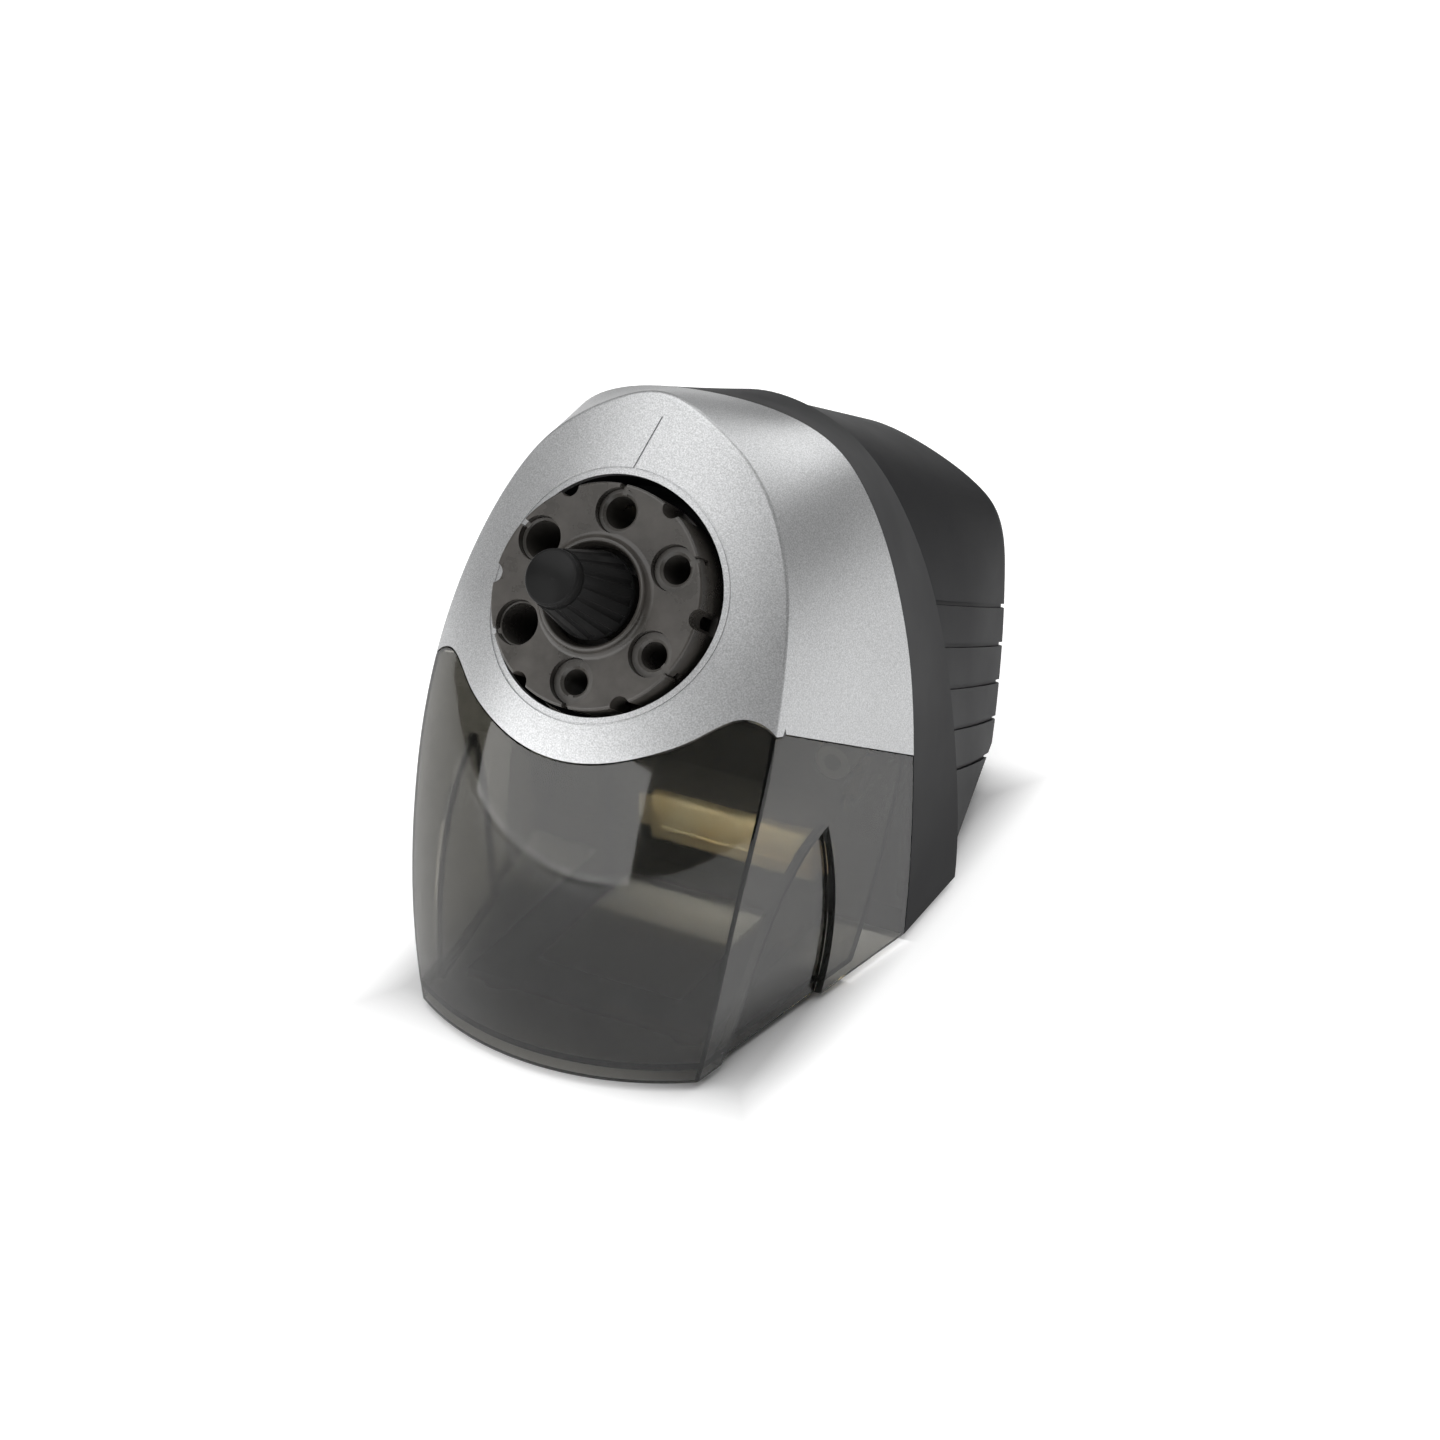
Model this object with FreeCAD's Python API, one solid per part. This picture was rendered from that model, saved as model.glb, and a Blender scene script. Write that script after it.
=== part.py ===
"""Heavy-duty desktop pencil sharpener with a six-hole dial and a front shavings drawer.

Frame: millimetres, +Z up, origin on the table under the middle of the object.
The front faces -Y, X runs across it, and the whole drive lies on one axis that
leans down towards the rear by DRIVE_TILT, in line with the pencil.
"""
import FreeCAD, Part
import math
import os

Vec = FreeCAD.Vector

# ---------------------------------------------------------------- driving dimensions
# overall
DEPTH = 233.0            # front of the drawer to the back of the rear housing
HEIGHT = 185.0           # table to the top of the front cover
HALF_WIDTH = 70.5        # widest half section, at the seam
FOOT_HEIGHT = 3.0        # rubber showing under the base
COVER_LENGTH = 114.5     # front of the drawer to the seam with the main housing
BAND_LENGTH = 38.9       # seam to the crease in front of the rear housing
WALL = 2.6               # moulded walls of the housing
CLEAR = 0.4              # gap between pieces that move past each other
RUNNING = 0.05           # radial clearance of a shaft in its hole

# face of the front cover and drawer
FACE_RADIUS = 85.0       # the face is bowed across by this radius
FACE_SWEEP = 194.0       # and swept back from the base by this one
FACE_LEAN = 38.5         # degrees that the top of the face leans back
FACE_START = 11.0        # height where the sweep starts
EDGE_ROUND = 1.6         # round between the face and the sides
LINE_OFFSET = 1.9        # engraved ring, outside the rim of the opening
LINE_WIDTH = 0.6
LINE_DEPTH = 0.5
INDEX_LENGTH = 17.0      # index line that rises from the ring above the dial
INDEX_LEAN = 14.0        # degrees that it leans to the right
INDEX_START = -1.4       # its foot lies this much left of the middle

# dial
DRIVE_TILT = 34.0        # degrees of the dial and drive axis below the level
DIAL_SETBACK = 43.2      # front of the drawer to the centre of the dial's face
DIAL_HEIGHT = 137.9      # table to the centre of the dial's face
DIAL_RADIUS = 33.0
DIAL_THICKNESS = 22.0
OPENING_RADIUS = 35.6    # hole in the front cover round the dial
OPENING_RISE = 1.0       # that hole stands this much above the dial's centre
PITCH_RADIUS = 25.0      # circle through the six pencil holes
PENCIL_HOLES = (9.5, 11.5, 12.2, 7.5, 8.0, 8.5)
CAP_THICKNESS = 8.0
CAP_ROUND = 0.8
CAP_SKIRT = 2.0          # wall of the skirt behind the cap's face
HUB_RADIUS = 14.4        # inside of the raised ring round the knob
TUBE_RADIUS = 6.55       # guide tubes seen in the dial's cut-outs
TUBE_RECESS = 2.3
KEY_WIDTH = 2.0          # slots that key the guide tubes to the cap
SCALLOP_RADIUS = 3.0     # thumb scallops on the rim
SEAT_RADIUS = 39.0
POST_RADIUS = 3.5        # fixed post that the dial turns on
KNOB_HEIGHT = 28.0
KNOB_BASE_RADIUS = 13.0
KNOB_END_RADIUS = 8.2
KNOB_STEM = 7.0
FLUTES = 15

# shavings drawer
DRAWER_WALL = 2.4        # clear walls of the drawer
SEAM_GAP = 0.5           # shut line round the drawer
DRAWER_REAR_TOP = 67.8   # side edge of the drawer at the seam
DRAWER_SIDE_TOP = 103.4  # side edge of the drawer beside the face
DRAWER_SIDE_START = 50.5 # from the front, where that edge starts to fall
DRAWER_FLOOR = 6.6       # underside of the drawer's floor
GRIP_DEPTH = 2.6         # finger grips pressed into the drawer's sides

# rear housing and base
REAR_ROUND = 8.0         # corner radius round the rear face
CREASE_STEP = 1.6        # rear housing stands in from the main housing
REAR_LIFT = 9.5          # lower edge of the rear housing above the base's
RIB_COUNT = 5
RIB_TOP = 98.0
RIB_PITCH = 14.5
RIB_FALL = 25.0
RIB_WIDTH = 1.4
RIB_DEPTH = 1.0
BASE_THICKNESS = 3.0
TRAY_WALL = 2.4          # upstand round the base inside the housing
TRAY_FIT = 0.3           # it stands in from the housing's walls
TONGUE_HALF = 40.0       # base under the drawer
TONGUE_RAIL = 14.0       # width of the rails round the tongue's window
VENT_COUNT = 7
VENT_PITCH = 7.0
FOOT_RADIUS = 6.0
FOOT_PLUG = 3.0
GLAND_X = -24.0
GLAND_Z = 30.0
GLAND_BORE = 3.6
GLAND_RADIUS = 6.0
SCREW_RADIUS = 1.6
SCREW_HEAD = 3.0
BOSS_RADIUS = 5.5        # cover bosses, beside the drawer's rear edge
BOSS_INSET = 16.0
BOSS_RISE = 8.4          # boss centres above the drawer's rear edge
BOSS_LENGTH = 28.0

# cutter and gear train
GEAR_MODULE = 1.0
RING_TEETH = 45          # fixed internal ring round the cutter
CUTTER_TEETH = 14
CARRIER_TEETH = 44
LAY_SMALL_TEETH = 16
LAY_LARGE_TEETH = 48
MOTOR_TEETH = 12
BACKLASH = 0.32          # shaved off each tooth
RING_OUTER = 30.0
CUTTER_RADIUS = 7.3
CUTTER_BORE = 2.5
CUTTER_BLADES = 12
CUTTER_LEAN = 10.5       # degrees between the cutter's axis and the pencil
PENCIL_ROOM = 7.2        # radius kept open for the pencil behind the dial
CARRIER_DISC = 20.5
CARRIER_SHAFT = 4.0
BUSH_RADIUS = 7.0
PLATE_THICKNESS = 3.0
CHASSIS_THICKNESS = 2.0
CHASSIS_HALF = 44.0
CHASSIS_SCREW_X = 34.0
BRACE_LEFT = -22.0       # channel spot-welded across the chassis behind the drawer
BRACE_RIGHT = 36.0
BRACE_HEIGHT = 17.0
BRACE_DEPTH = 4.0
BRACE_SHEET = 1.2
BRACE_ROUND = 1.6
BRACE_TAB = 6.0
PLATE_ROUND = 8.0

# motor
MOTOR_DROP = 30.0        # pencil axis to motor axis
MOTOR_RADIUS = 27.0
MOTOR_STACK = 40.0
MOTOR_BOLTS = 21.5       # bolts from the motor's axis, each way
ROTOR_RADIUS = 15.5
SHAFT_RADIUS = 3.0
COIL_HALF = 11.0
COIL_REACH = 20.0        # motor axis to the middle of each coil
COIL_THICKNESS = 6.0
FAN_RADIUS = 19.0
FAN_BLADES = 9
SLEEVE_RADIUS = 3.4
MOTOR_BUSH = 6.5

# ---------------------------------------------------------------- places that follow
FRONT_Y = -DEPTH / 2
REAR_Y = DEPTH / 2
SEAM_Y = FRONT_Y + COVER_LENGTH
CREASE_Y = SEAM_Y + BAND_LENGTH
DIAL_Y = FRONT_Y + DIAL_SETBACK
BASE_Z = FOOT_HEIGHT
BASE_TOP = BASE_Z + BASE_THICKNESS
TONGUE_FRONT = FRONT_Y + 30
GEAR_REACH = GEAR_MODULE * (CARRIER_TEETH + LAY_SMALL_TEETH) / 2
MOTOR_REACH = GEAR_MODULE * (LAY_LARGE_TEETH + MOTOR_TEETH) / 2
BOSS_X = HALF_WIDTH - BOSS_INSET
BOSS_Z = DRAWER_REAR_TOP + BOSS_RISE
BEYOND = 90.0            # half width past every side of the body

# half outlines as (across, height above the base's lower edge), from the foot to the crown
FACE_EDGE = [(47.5, 0), (52.2, 28.7), (55.9, 67), (57, 92.8), (55.1, 115.9), (49.8, 138.4),
             (40.5, 157.1), (30, 168.6), (15.2, 177.8), (0, 182)]
SEAM_ARCH = [(69.2, 0), (70.5, 30), (70, 66), (68.2, 92), (64.5, 113.5), (57.5, 137),
             (46.3, 157), (34, 165.9), (17.5, 170.2), (0, 171.3)]
CREASE_ARCH = [(70.2, 0), (69.8, 30), (66, 66), (61.6, 89.5), (56, 108.3), (48.8, 124.5),
               (40, 138.2), (30, 148), (17, 154.8), (0, 158)]
REAR_ARCH = [(52.1, 0), (54, 22), (55.3, 50), (55.4, 70), (54.6, 86), (51, 97),
             (43.6, 104.5), (31.9, 111.4), (16.5, 117.8), (0, 121)]
CHIN = [(0, 95.8), (15, 97.4), (27, 100.8), (37, 105), (43, 108.5), (47.5, 109.8), (52, 108.6),
        (57.2, 103.4)]

# finger grip on the drawer's side as (y, z): a pointed arch with its crown at the fourth point
GRIP_ARCH = [(-92.5, 0), (-79, 34), (-65, 54.5), (-47, 65), (-41.8, 36), (-45, 0)]
GRIP_CROWN = 3


def save(shape, node):
    """Write one node, as one solid or a group of them."""
    solids = shape.Solids
    shape = solids[0] if len(solids) == 1 else Part.makeCompound(solids)
    if not shape.isValid():
        print("INVALID", node)
    shape.exportStep("parts/" + node + ".step")
    NODES[node] = shape
    print(f"{node:24s} solids {len(solids)}  volume {shape.Volume:10.1f}")


NODES = {}
os.makedirs("parts", exist_ok=True)


def box(x0, x1, y0, y1, z0, z1):
    return Part.makeBox(x1 - x0, y1 - y0, z1 - z0, Vec(x0, y0, z0))


def rod(radius, z0, z1, x=0.0, y=0.0):
    """Cylinder along local Z between two heights."""
    return Part.makeCylinder(radius, z1 - z0, Vec(x, y, z0))


def tube(outer, inner, z0, z1, x=0.0, y=0.0):
    return rod(outer, z0, z1, x, y).cut(rod(inner, z0 - 1, z1 + 1, x, y))


def fuse(shapes):
    """Join pieces that touch into one solid."""
    return shapes[0].fuse(shapes[1:]).removeSplitter() if len(shapes) > 1 else shapes[0]


def mirrored(shape):
    return shape.mirror(Vec(0, 0, 0), Vec(1, 0, 0))


def both_sides(shape):
    return Part.makeCompound([shape, mirrored(shape)])


# ---------------------------------------------------------------- the bowed, swept face
def face_profile_y(height):
    """Y of the face's middle line at a height above the table."""
    lean = math.radians(FACE_LEAN)
    rise = height - FACE_START
    top = FACE_SWEEP * math.sin(lean)
    if rise <= 0:
        return FRONT_Y
    if rise <= top:
        return FRONT_Y + FACE_SWEEP - math.sqrt(FACE_SWEEP ** 2 - rise ** 2)
    return FRONT_Y + FACE_SWEEP * (1 - math.cos(lean)) + (rise - top) * math.tan(lean)


def face_point(across, height):
    bow = FACE_RADIUS - math.sqrt(FACE_RADIUS ** 2 - across ** 2)
    return Vec(across, face_profile_y(height) + bow, height)


def carried_surface(rail, bow):
    """Surface made by carrying the bow along the rail without turning it."""
    rail, bow = rail.toBSpline(), bow.toBSpline()
    poles = [[a + b for b in bow.getPoles()] for a in rail.getPoles()]
    weights = [[a * b for b in bow.getWeights()] for a in rail.getWeights()]
    surface = Part.BSplineSurface()
    surface.buildFromPolesMultsKnots(
        poles, rail.getMultiplicities(), bow.getMultiplicities(), rail.getKnots(),
        bow.getKnots(), False, False, rail.Degree, bow.Degree, weights)
    return surface.toShape()


def behind_face():
    """Everything behind the face, as a solid that runs well past the body."""
    half = 0.92 * FACE_RADIUS
    sag = FACE_RADIUS - math.sqrt(FACE_RADIUS ** 2 - half ** 2)
    bow = Part.Arc(Vec(-half, sag, 0), Vec(0, 0, 0), Vec(half, sag, 0))
    lean_top = FACE_START + FACE_SWEEP * math.sin(math.radians(FACE_LEAN))
    middle = FACE_START + FACE_SWEEP * math.sin(math.radians(FACE_LEAN / 2))
    heights = (-20, FACE_START, middle, lean_top, HEIGHT + 40)
    low, start, mid, end, top = [Vec(0, face_profile_y(h), h) for h in heights]
    rails = (Part.LineSegment(low, start), Part.Arc(start, mid, end), Part.LineSegment(end, top))
    return fuse([carried_surface(rail, bow).extrude(Vec(0, 2 * DEPTH, 0)) for rail in rails])


BEHIND_FACE = behind_face()


# ---------------------------------------------------------------- body form from its outlines
def inset(outline, depth):
    """Half outline moved inwards; its foot keeps its height and its crown its middle."""
    moved = []
    for i, (x, h) in enumerate(outline):
        if i == 0:
            moved.append((x - depth, h))
        elif i == len(outline) - 1:
            moved.append((x, h - depth))
        else:
            dx = outline[i + 1][0] - outline[i - 1][0]
            dh = outline[i + 1][1] - outline[i - 1][1]
            size = math.hypot(dx, dh)
            moved.append((x - depth * dh / size, h + depth * dx / size))
    return moved


def scaled(outline):
    """Half outline at the body's own width and height, above the table."""
    wide = HALF_WIDTH / 70.5
    tall = (HEIGHT - FOOT_HEIGHT) / 182.0
    return [(x * wide, h * tall) for x, h in outline]


def wire_at(half, spacing):
    """Closed wire through a half outline in space and its mirror image."""
    points = half + [Vec(-p.x, p.y, p.z) for p in reversed(half[:-1])]
    steps = spacing + list(reversed(spacing))
    params = [0.0]
    for step in steps:
        params.append(params[-1] + step)
    curve = Part.BSplineCurve()
    curve.interpolate(Points=points, Parameters=params)
    foot = Part.LineSegment(points[-1], points[0])
    return Part.Wire([curve.toShape(), foot.toShape()])


def section(outline, y):
    return [Vec(x, y, BASE_Z + h) for x, h in outline]


def loft(halves, ruled):
    spacing = []
    for i in range(len(halves[0]) - 1):
        chords = [half[i].distanceToPoint(half[i + 1]) for half in halves]
        spacing.append(math.sqrt(sum(chords) / len(chords)))
    return Part.makeLoft([wire_at(half, spacing) for half in halves], True, ruled)


def front_form(depth):
    """Front of the body inside its skin by a depth, cut only by the seam."""
    edge = inset(scaled(FACE_EDGE), depth)
    seam = section(inset(scaled(SEAM_ARCH), depth), SEAM_Y)
    low = Vec(0, FRONT_Y - 22, BASE_Z)
    high = Vec(0, face_profile_y(HEIGHT) - 30, HEIGHT)
    normal = Vec(0, high.z - low.z, low.y - high.y)
    front = []
    for (x, h), behind in zip(edge, seam):
        run = face_point(x, BASE_Z + h) - behind
        front.append(behind + run * ((low - behind).dot(normal) / run.dot(normal)))
    return loft([front, seam], True)


def band_form(depth):
    return loft([section(inset(scaled(SEAM_ARCH), depth), SEAM_Y),
                 section(inset(scaled(CREASE_ARCH), depth), CREASE_Y)], True)


def rear_form(depth):
    """Rear of the body: it tapers to the back and rounds over into a flat rear face."""
    end_y = REAR_Y - depth
    crease = section(inset(scaled(CREASE_ARCH), depth + CREASE_STEP), CREASE_Y)
    rear = section(inset(scaled(REAR_ARCH), depth + CREASE_STEP), end_y)
    body = loft([crease, rear], True)
    rim = [edge for edge in body.Edges
           if edge.BoundBox.YMin > end_y - 0.1 and edge.BoundBox.ZLength > 1]
    return body.makeFillet(REAR_ROUND - depth, rim)


def side_edge_z(y):
    """Height of the line between the drawer's side and the front cover."""
    start = FRONT_Y + DRAWER_SIDE_START
    return DRAWER_SIDE_TOP + (y - start) * (DRAWER_REAR_TOP - DRAWER_SIDE_TOP) / (SEAM_Y - start)


def drawer_zone():
    """Space of the drawer: under its falling side edges and under the chin."""
    front, start, seam = FRONT_Y - 40, FRONT_Y + DRAWER_SIDE_START, SEAM_Y + 10
    high = DRAWER_SIDE_TOP + 12
    side = [(front, -5), (front, high), (start, high), (start, side_edge_z(start)),
            (seam, side_edge_z(seam)), (seam, -5), (front, -5)]
    under = Part.Face(Part.makePolygon([Vec(-90, y, z) for y, z in side])).extrude(Vec(180, 0, 0))
    chin = [Vec(x, front - 5, z) for x, z in CHIN]
    points = [Vec(-p.x, p.y, p.z) for p in reversed(chin[1:])] + chin
    curve = Part.BSplineCurve()
    curve.interpolate(points)
    above = high + 10
    lift = [points[-1], Vec(points[-1].x, front - 5, above), Vec(points[0].x, front - 5, above),
            points[0]]
    outline = Part.Wire([curve.toShape()] + Part.makePolygon(lift).Edges)
    collar = Part.Face(outline).extrude(Vec(0, start - front + 5, 0))
    return under.cut(collar)


ZONE = drawer_zone()
AHEAD = FRONT_Y - 60
SQUARE_FRONT = front_form(0).common(BEHIND_FACE)
face_edges = [edge for edge in SQUARE_FRONT.Edges
              if edge.BoundBox.YMax < SEAM_Y - 10 and edge.BoundBox.ZLength > 1]
OUTER_FRONT = SQUARE_FRONT.makeFillet(EDGE_ROUND, face_edges)


def inner_front(depth):
    """Hollow of the front of the body, inside skin and face by a depth."""
    return front_form(depth).common(BEHIND_FACE.translated(Vec(0, 1.1 * depth, 0)))


# ---------------------------------------------------------------- leaning frames
LEAN = FreeCAD.Rotation(Vec(1, 0, 0), 90 - DRIVE_TILT)
OUT = LEAN.multVec(Vec(0, 0, 1))        # along the axis, towards the user
UP = LEAN.multVec(Vec(0, 1, 0))         # up the dial's face
DIAL_CENTRE = Vec(0, DIAL_Y, DIAL_HEIGHT)
PENCIL_CENTRE = DIAL_CENTRE + UP * PITCH_RADIUS


def on_dial(shape):
    """Place a shape drawn about the dial's axis, with local Z towards the user."""
    placed = shape.copy()
    placed.Placement = FreeCAD.Placement(DIAL_CENTRE, LEAN).multiply(placed.Placement)
    return placed


def on_drive(shape):
    """Place a shape drawn about the pencil's axis, with local Z towards the user."""
    placed = shape.copy()
    placed.Placement = FreeCAD.Placement(PENCIL_CENTRE, LEAN).multiply(placed.Placement)
    return placed


def turned(shape, angle, x=0.0, y=0.0):
    return shape.copy().rotate(Vec(x, y, 0), Vec(0, 0, 1), angle)


def rod_along_y(radius, length, x, y, z):
    return Part.makeCylinder(radius, length, Vec(x, y, z), Vec(0, 1, 0))


def prism_across(outline, x0, x1):
    """Solid between two planes across the body, from a closed outline as (y, z)."""
    wire = Part.makePolygon([Vec(x0, y, z) for y, z in outline + outline[:1]])
    return Part.Face(wire).extrude(Vec(x1 - x0, 0, 0))


# ---------------------------------------------------------------- gears
def gear_outline(teeth, phase, root, tip, pitch_width, tip_width):
    """Closed outline with straight-sided teeth, the first one centred on the phase."""
    points = []
    pitch = GEAR_MODULE * teeth / 2
    for i in range(teeth):
        centre = math.radians(phase + 360.0 * i / teeth)
        slope = (pitch_width - tip_width) / (tip - pitch)
        root_width = pitch_width + slope * (pitch - root)
        for radius, offset in ((root, -root_width), (tip, -tip_width), (tip, tip_width),
                               (root, root_width)):
            angle = centre + offset / 2 / radius
            points.append(Vec(radius * math.cos(angle), radius * math.sin(angle), 0))
    return Part.makePolygon(points + points[:1])


def gear(teeth, phase, z0, z1):
    """Spur gear blank with external teeth."""
    pitch = GEAR_MODULE * teeth / 2
    half_pitch = math.pi * GEAR_MODULE / 2
    outline = gear_outline(teeth, phase, pitch - 1.2 * GEAR_MODULE, pitch + 0.9 * GEAR_MODULE,
                           half_pitch - BACKLASH, 0.42 * half_pitch)
    return Part.Face(outline).extrude(Vec(0, 0, z1 - z0)).translated(Vec(0, 0, z0))


def ring_gear_blank(teeth, phase, outer, z0, z1):
    """Ring with internal teeth; the phase is the middle of a space."""
    pitch = GEAR_MODULE * teeth / 2
    half_pitch = math.pi * GEAR_MODULE / 2
    space = gear_outline(teeth, phase, pitch - 0.8 * GEAR_MODULE, pitch + 1.7 * GEAR_MODULE,
                         half_pitch + BACKLASH, 0.62 * half_pitch)
    core = Part.Face(space).extrude(Vec(0, 0, z1 - z0 + 2)).translated(Vec(0, 0, z0 - 1))
    return rod(outer, z0, z1).cut(core)


def screw(x, y, z0, z1):
    """Pan-head screw along local Z, its head at the top."""
    shank = rod(SCREW_RADIUS, z0, z1 - 1.8, x, y)
    head = rod(SCREW_HEAD, z1 - 1.8, z1, x, y)
    cross = fuse([box(x - 1.9, x + 1.9, y - 0.35, y + 0.35, z1 - 0.9, z1 + 1),
                  box(x - 0.35, x + 0.35, y - 1.9, y + 1.9, z1 - 0.9, z1 + 1)])
    return shank.fuse(head).removeSplitter().cut(cross)


# ---------------------------------------------------------------- front cover
shell = OUTER_FRONT.cut(inner_front(WALL))
shell = shell.cut(ZONE.translated(Vec(0, 0, SEAM_GAP)))
opening = rod(OPENING_RADIUS, -40, 40, 0, OPENING_RISE)
shell = shell.cut(on_dial(opening))
line_radius = OPENING_RADIUS + LINE_OFFSET
ring_line = tube(line_radius + LINE_WIDTH / 2, line_radius - LINE_WIDTH / 2, -30, 30, 0, OPENING_RISE)
index_line = box(-LINE_WIDTH / 2, LINE_WIDTH / 2, 0, INDEX_LENGTH, -30, 30)
index_line = turned(index_line, -INDEX_LEAN)
index_line = index_line.translated(Vec(INDEX_START, line_radius + OPENING_RISE, 0))
engraving = on_dial(fuse([ring_line, index_line])).cut(inner_front(LINE_DEPTH))
shell = shell.cut(engraving)
boss_front = SEAM_Y - BOSS_LENGTH
boss = rod_along_y(BOSS_RADIUS, BOSS_LENGTH, BOSS_X, boss_front, BOSS_Z)
web = box(BOSS_X, BOSS_X + 20, SEAM_Y - 6, SEAM_Y - 3, BOSS_Z - 1, BOSS_Z + 26)
web = web.common(inner_front(WALL - CLEAR))
pilot = rod_along_y(SCREW_RADIUS, 24, BOSS_X, SEAM_Y - 22, BOSS_Z)
eye = rod_along_y(BOSS_RADIUS / 2, 8, BOSS_X, boss_front - 1, BOSS_Z)
boss = boss.fuse(web).cut(pilot).cut(eye)
front_cover = shell.fuse([boss, mirrored(boss)])
save(front_cover, "front_cover")

# ---------------------------------------------------------------- shavings drawer
grip = [Vec(0, y, z) for y, z in GRIP_ARCH]
grip_front = Part.BSplineCurve()
grip_front.interpolate(grip[:GRIP_CROWN + 1])
grip_rear = Part.BSplineCurve()
grip_rear.interpolate(grip[GRIP_CROWN:])
grip_foot = Part.LineSegment(grip[-1], grip[0])
grip_wire = Part.Wire([grip_front.toShape(), grip_rear.toShape(), grip_foot.toShape()])
grip_prism = Part.Face(grip_wire).extrude(Vec(BEYOND, 0, 0))
grip_cut = grip_prism.cut(front_form(GRIP_DEPTH))
grip_back = grip_prism.common(front_form(GRIP_DEPTH - 0.3)).cut(front_form(GRIP_DEPTH + DRAWER_WALL))
drawer_outer = OUTER_FRONT.common(ZONE)
drawer_outer = drawer_outer.cut(grip_cut).cut(mirrored(grip_cut))
hollow = inner_front(DRAWER_WALL)
hollow = hollow.cut(grip_back).cut(mirrored(grip_back))
slope_top = SEAM_Y - 3.5
slope_foot = SEAM_Y - 26.0
floor_top = DRAWER_FLOOR + DRAWER_WALL
room = prism_across([(AHEAD, floor_top), (slope_foot - DRAWER_WALL, floor_top),
                     (slope_top - DRAWER_WALL, DRAWER_REAR_TOP), (slope_top - DRAWER_WALL, HEIGHT),
                     (AHEAD, HEIGHT)], -BEYOND, BEYOND)
under_floor = box(-BEYOND, BEYOND, AHEAD, SEAM_Y + 1, -5, DRAWER_FLOOR)
rear_gap = prism_across([(slope_foot, DRAWER_FLOOR), (slope_top, DRAWER_REAR_TOP), (slope_top, HEIGHT),
                         (SEAM_Y + 1, HEIGHT), (SEAM_Y + 1, -5), (slope_foot, -5)], -BEYOND, BEYOND)
drawer = drawer_outer.cut(hollow.common(room)).cut(hollow.common(under_floor))
drawer = drawer.cut(hollow.common(rear_gap))
drawer = drawer.cut(box(-BEYOND, BEYOND, SEAM_Y - CLEAR, SEAM_Y + 1, -5, HEIGHT))
side_wall = HALF_WIDTH - 6
drawer = drawer.cut(box(-side_wall, side_wall, SEAM_Y - 12, SEAM_Y + 1, DRAWER_REAR_TOP, HEIGHT))
save(drawer, "shavings_drawer")

# ---------------------------------------------------------------- main housing and rear housing
band = band_form(0).cut(band_form(WALL))
post_x = HALF_WIDTH - 7.2
post_y = (SEAM_Y + CREASE_Y) / 2
rear_post_x = 38.0
rear_post_y = REAR_Y - 16
PAD_HEIGHT = 7.0
post = rod(5.0, BASE_TOP + PAD_HEIGHT, BASE_TOP + 34, post_x, post_y)
post = post.common(band_form(WALL - 0.5))
ear = rod_along_y(BOSS_RADIUS + 1, WALL, BOSS_X, SEAM_Y, BOSS_Z)
ear = ear.fuse(box(BOSS_X, BOSS_X + 20, SEAM_Y, SEAM_Y + WALL, BOSS_Z - 6, BOSS_Z + 6))
ear = ear.common(band_form(WALL - CLEAR))
band = band.fuse([post, mirrored(post), ear, mirrored(ear)])
cover_screw = rod_along_y(SCREW_RADIUS, 12 + WALL + 1, BOSS_X, SEAM_Y - 12, BOSS_Z)
cover_screw = cover_screw.fuse(rod_along_y(SCREW_HEAD, 2, BOSS_X, SEAM_Y + WALL, BOSS_Z))
cover_screws = both_sides(cover_screw.removeSplitter())
band = band.cut(cover_screws)

rear = rear_form(0).cut(rear_form(WALL))
ribs = []
for i in range(RIB_COUNT):
    rib = box(-BEYOND, BEYOND, 0, 130, -RIB_WIDTH / 2, RIB_WIDTH / 2)
    rib.rotate(Vec(0, 0, 0), Vec(1, 0, 0), -RIB_FALL)
    ribs.append(rib.translated(Vec(0, CREASE_Y - 0.5, BASE_Z + RIB_TOP - i * RIB_PITCH)))
rear = rear.cut(Part.makeCompound(ribs).cut(rear_form(RIB_DEPTH)))
rear = rear.cut(box(-BEYOND, BEYOND, CREASE_Y - 1, REAR_Y + 1, -5, BASE_Z + REAR_LIFT))
rear_post = rod(5.0, BASE_TOP + PAD_HEIGHT, BASE_TOP + 30, rear_post_x, rear_post_y)
rear_web = box(rear_post_x - 1, rear_post_x + 1, rear_post_y, REAR_Y, BASE_TOP + PAD_HEIGHT,
               BASE_TOP + 30)
rear_post = rear_post.fuse(rear_web).common(rear_form(WALL - 0.5))
rear = rear.fuse([rear_post, mirrored(rear_post)])

# ---------------------------------------------------------------- base
def plinth(depth, y0, z0, z1):
    """Low slice of the body behind the seam, inside the skin by a depth."""
    low_band = band_form(depth).common(box(-BEYOND, BEYOND, y0, CREASE_Y, z0, z1))
    low_rear = rear_form(depth + TRAY_FIT).common(box(-BEYOND, BEYOND, CREASE_Y, REAR_Y, z0, z1))
    return low_band.fuse(low_rear)


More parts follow.
